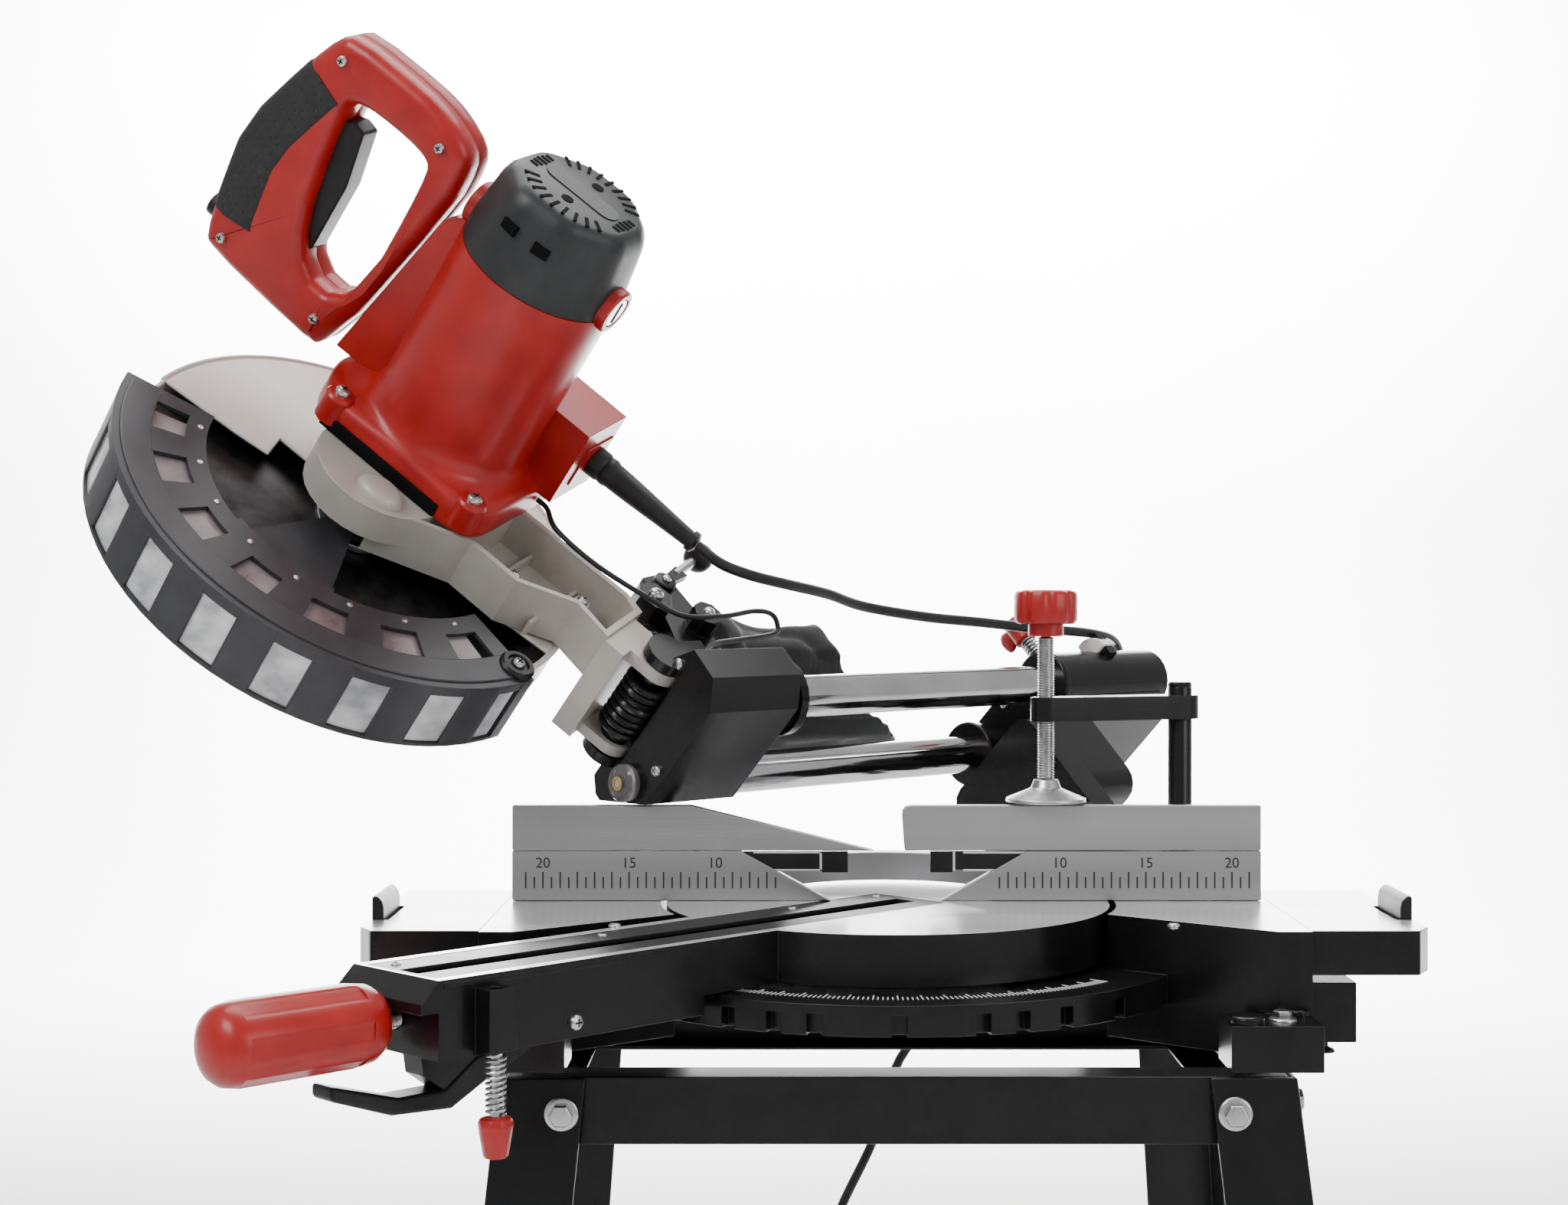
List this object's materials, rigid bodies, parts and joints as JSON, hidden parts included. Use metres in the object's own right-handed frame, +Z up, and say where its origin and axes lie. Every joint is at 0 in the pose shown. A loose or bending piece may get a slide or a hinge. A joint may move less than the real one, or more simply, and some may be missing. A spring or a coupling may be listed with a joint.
{
  "type": "mitre saw on stand",
  "caption": "Sliding compound mitre saw on an open splayed-leg steel stand, with the head raised and set to a left mitre and a left bevel.",
  "frame": {"origin": "centre of the footprint of everything but the free cords, on the floor", "axes": "+Z up, -Y towards the operator, +X to the operator's right"},
  "size_m": [0.7378, 0.6717, 1.2858],
  "materials": {
    "black_casting": "satin powder coat",
    "black_plastic": "fine texture",
    "red_plastic": "semi-gloss moulded",
    "grey_casting": "satin enamel",
    "pale_guard": "satin enamel",
    "dark_plastic": "fine texture",
    "clear_plastic": "clear polycarbonate",
    "fence_aluminium": "brushed",
    "bright_steel": "ground",
    "rail_chrome": "polished",
    "black_rubber": "matt",
    "bag_fabric": "woven",
    "stand_paint": "satin powder coat"
  },
  "bodies": {
    "base": {"leg_front_left": "stand_paint", "leg_front_right": "stand_paint", "leg_rear_left": "stand_paint", "leg_rear_right": "stand_paint", "foot_front_left": "black_rubber", "foot_front_right": "black_rubber", "foot_rear_left": "black_rubber", "foot_rear_right": "black_rubber", "stand_front_beam": "stand_paint", "stand_rear_beam": "stand_paint", "stand_left_beam": "stand_paint", "stand_right_beam": "stand_paint", "stand_brace_left": "stand_paint", "stand_brace_right": "stand_paint", "base_casting": "black_casting", "fixed_fence": "fence_aluminium", "mains_cord": "black_rubber", "cord_coil": "black_rubber", "plug": "black_rubber"},
    "turn": {"turntable": "black_casting", "kerf_insert": "black_plastic"},
    "tilt": {"tilt_housing": "black_casting"},
    "slide": {"rail_right": "rail_chrome", "rail_left": "rail_chrome", "front_casting": "black_casting", "torsion_spring": "black_casting", "laser_module": "clear_plastic", "laser_cable": "black_rubber"},
    "head": {"head_casting": "grey_casting", "upper_guard": "pale_guard", "motor_housing": "red_plastic", "motor_end_cap": "black_plastic", "strain_relief": "black_rubber", "handle_lower_half": "red_plastic", "handle_upper_half": "red_plastic", "dust_bag": "bag_fabric"},
    "guard": {"lower_guard": "dark_plastic", "guard_rim": "clear_plastic"},
    "spindle": {"blade": "bright_steel", "arbor": "bright_steel", "drive_gear": "bright_steel"},
    "rotor": {"armature": "bright_steel"},
    "trigger": {"trigger": "black_plastic"},
    "lock_off_button": {"lock_off_button": "black_plastic"},
    "mitre_lock_handle": {"mitre_lock_handle": "red_plastic"},
    "detent_lever": {"detent_lever": "black_plastic"},
    "pull_pin": {"pull_pin": "red_plastic"},
    "bevel_lock_lever": {"bevel_lock_lever": "black_plastic"},
    "rail_lock_knob": {"rail_lock_knob": "red_plastic"},
    "depth_stop_lever": {"depth_stop_lever": "black_plastic"},
    "clamp_post": {"clamp_post": "black_casting"},
    "clamp_arm": {"clamp_arm": "black_casting"},
    "clamp_pad": {"clamp_pad": "bright_steel"},
    "clamp_screw": {"clamp_screw": "red_plastic"},
    "upper_fence_left": {"upper_fence_left": "fence_aluminium"},
    "upper_fence_right": {"upper_fence_right": "fence_aluminium"},
    "wing_left": {"wing_left": "black_casting"},
    "wing_right": {"wing_right": "black_casting"},
    "flip_stop_left": {"flip_stop_left": "black_plastic"},
    "flip_stop_right": {"flip_stop_right": "black_plastic"}
  },
  "joints": [
    {"name": "mitre_turn", "type": "hinge", "parent": "base", "child": "turn", "pos_m": [0.08193, -0.00592, 0.79], "axis": [0, 0, 1], "range_deg": [0, 90], "deforming": ["mains_cord"]},
    {"name": "bevel_tilt", "type": "hinge", "parent": "turn", "child": "tilt", "pos_m": [0.08193, -0.00592, 0.79], "axis": [0.7071, 0.7071, 0], "range_deg": [0, 45]},
    {"name": "rail_slide", "type": "slide", "parent": "tilt", "child": "slide", "axis": [-0.7071, -0.7071, 0], "range_m": [-0.24, 0]},
    {"name": "head_chop", "type": "hinge", "parent": "slide", "child": "head", "pos_m": [-0.06861, -0.00246, 0.89889], "axis": [0.5, -0.5, 0.7071], "range_deg": [0, 63], "stiffness_Nm_per_rad": 8, "springref_deg": -68.75, "deforming": ["laser_cable"]},
    {"name": "guard_retract", "type": "hinge", "parent": "head", "child": "guard", "pos_m": [-0.22804, -0.00989, 1.00638], "axis": [-0.5, 0.5, -0.7071], "range_deg": [0, 126]},
    {"name": "blade_spin", "type": "hinge", "parent": "head", "child": "spindle", "pos_m": [-0.22804, -0.00989, 1.00638], "axis": [0.5, -0.5, 0.7071], "continuous": true},
    {"name": "motor_spin", "type": "hinge", "parent": "head", "child": "rotor", "pos_m": [-0.20563, 0.03075, 1.01926], "axis": [0.5, -0.5, 0.7071], "continuous": true},
    {"name": "trigger_pull", "type": "hinge", "parent": "head", "child": "trigger", "pos_m": [-0.25481, -0.00482, 1.17597], "axis": [-0.403, -0.857, -0.321], "range_deg": [0, 4.5], "stiffness_Nm_per_rad": 0.4, "springref_deg": -11.46},
    {"name": "lock_off_press", "type": "slide", "parent": "head", "child": "lock_off_button", "axis": [0.7665, -0.1245, -0.63], "range_m": [0, 0.003], "stiffness_N_per_m": 400, "springref_m": -0.003},
    {"name": "mitre_lock", "type": "hinge", "parent": "turn", "child": "mitre_lock_handle", "pos_m": [-0.16202, -0.24987, 0.768], "axis": [-0.7071, -0.7071, 0], "range_deg": [0, 120]},
    {"name": "detent_press", "type": "hinge", "parent": "turn", "child": "detent_lever", "pos_m": [-0.12737, -0.21522, 0.74], "axis": [0.7071, -0.7071, 0], "range_deg": [0, 10], "stiffness_Nm_per_rad": 3, "springref_deg": -5.73},
    {"name": "pin_pull", "type": "slide", "parent": "turn", "child": "pull_pin", "axis": [0, 0, -1], "range_m": [0, 0.008], "stiffness_N_per_m": 500, "springref_m": -0.006},
    {"name": "bevel_lock", "type": "hinge", "parent": "turn", "child": "bevel_lock_lever", "pos_m": [0.22477, 0.13692, 0.79], "axis": [-0.7071, -0.7071, 0], "range_deg": [0, 20]},
    {"name": "rail_lock", "type": "hinge", "parent": "tilt", "child": "rail_lock_knob", "pos_m": [0.19514, 0.22029, 0.92223], "axis": [-0.5, 0.5, 0.7071], "range_deg": [0, 180]},
    {"name": "depth_stop_swing", "type": "hinge", "parent": "slide", "child": "depth_stop_lever", "pos_m": [-0.05137, 0.04678, 0.97385], "axis": [-0.5, 0.5, -0.7071], "range_deg": [0, 50]},
    {"name": "clamp_swing", "type": "hinge", "parent": "base", "child": "clamp_post", "pos_m": [0.25793, 0.03208, 0.79], "axis": [0, 0, -1], "range_deg": [0, 40]},
    {"name": "clamp_height", "type": "slide", "parent": "clamp_post", "child": "clamp_arm", "axis": [0, 0, 1], "range_m": [0, 0.007]},
    {"name": "clamp_feed", "type": "slide", "parent": "clamp_arm", "child": "clamp_pad", "axis": [0, 0, -1], "range_m": [-0.025, 0]},
    {"name": "clamp_turn", "type": "hinge", "parent": "clamp_pad", "child": "clamp_screw", "pos_m": [0.17493, 0.00408, 0.89], "axis": [0, 0, -1], "range_deg": [-3000, 0]},
    {"name": "left_fence_slide", "type": "slide", "parent": "base", "child": "upper_fence_left", "axis": [-1, 0, 0], "range_m": [0, 0.05]},
    {"name": "right_fence_slide", "type": "slide", "parent": "base", "child": "upper_fence_right", "axis": [1, 0, 0], "range_m": [0, 0.05]},
    {"name": "left_wing_slide", "type": "slide", "parent": "base", "child": "wing_left", "axis": [-1, 0, 0], "range_m": [0, 0.06]},
    {"name": "right_wing_slide", "type": "slide", "parent": "base", "child": "wing_right", "axis": [1, 0, 0], "range_m": [0, 0.06]},
    {"name": "left_stop_flip", "type": "hinge", "parent": "wing_left", "child": "flip_stop_left", "pos_m": [-0.20082, -0.05092, 0.785], "axis": [0, -1, 0], "range_deg": [0, 90]},
    {"name": "right_stop_flip", "type": "hinge", "parent": "wing_right", "child": "flip_stop_right", "pos_m": [0.36468, -0.05092, 0.785], "axis": [0, 1, 0], "range_deg": [0, 90]}
  ],
  "couplings": [
    {"joint": "guard_retract", "follows": "head_chop", "ratio": 2},
    {"joint": "motor_spin", "follows": "blade_spin", "ratio": -3.8},
    {"joint": "clamp_turn", "follows": "clamp_feed", "rad_per_m": 2094.4}
  ]
}
